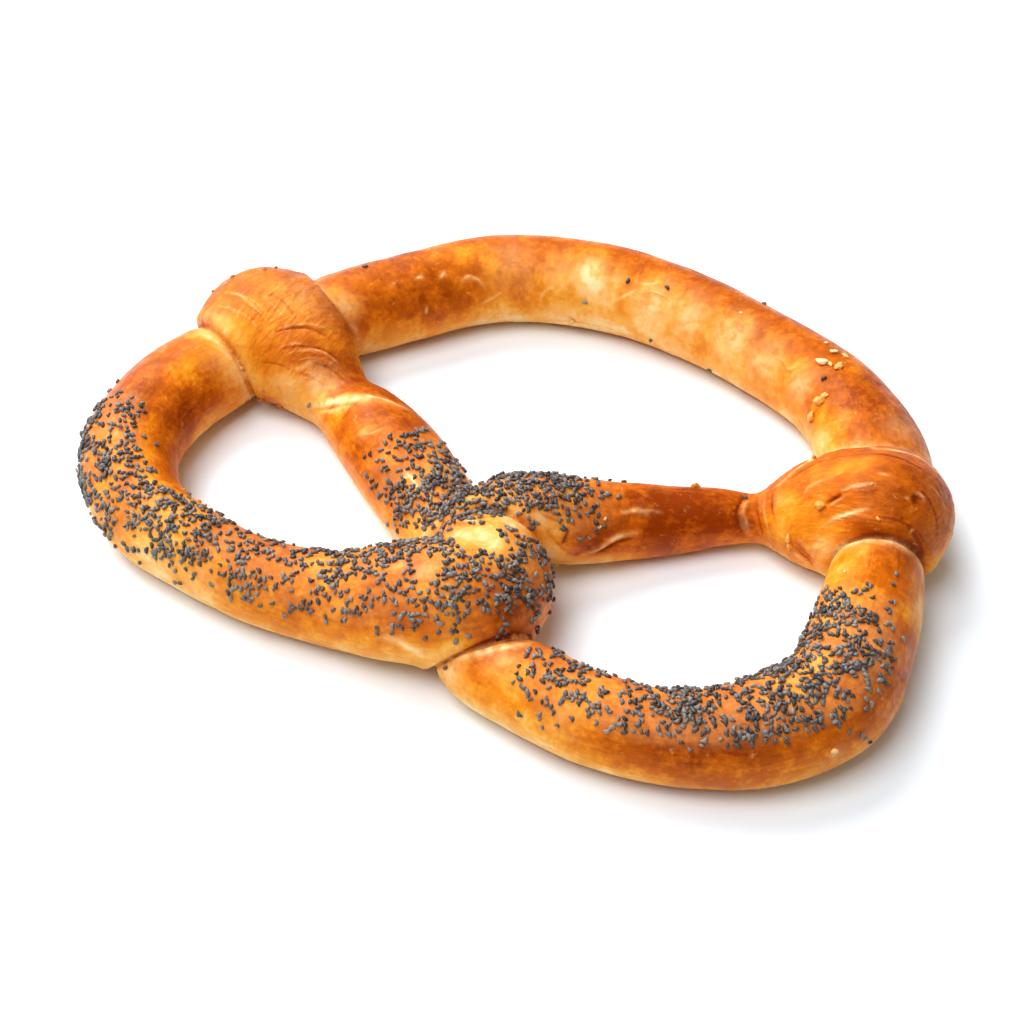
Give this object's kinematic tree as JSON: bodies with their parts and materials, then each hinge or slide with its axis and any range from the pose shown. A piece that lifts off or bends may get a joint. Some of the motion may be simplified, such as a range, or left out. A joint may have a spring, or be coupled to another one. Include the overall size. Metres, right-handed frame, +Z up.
{
  "type": "poppy seed pretzel",
  "caption": "Baked soft pretzel: a dough rope twisted at the front, its thick ends laid over the ring as knots, the front sprinkled with poppy seeds.",
  "frame": {"origin": "on the table under the middle of the pretzel's box", "axes": "+X from the left knot to the right knot, +Y from the twist to the plain back of the ring, +Z up"},
  "size_m": [0.1781, 0.1341, 0.0263],
  "materials": {
    "crust": "satin",
    "poppy_seeds": "satin"
  },
  "bodies": {
    "root": {"pretzel": "crust"}
  },
  "joints": []
}
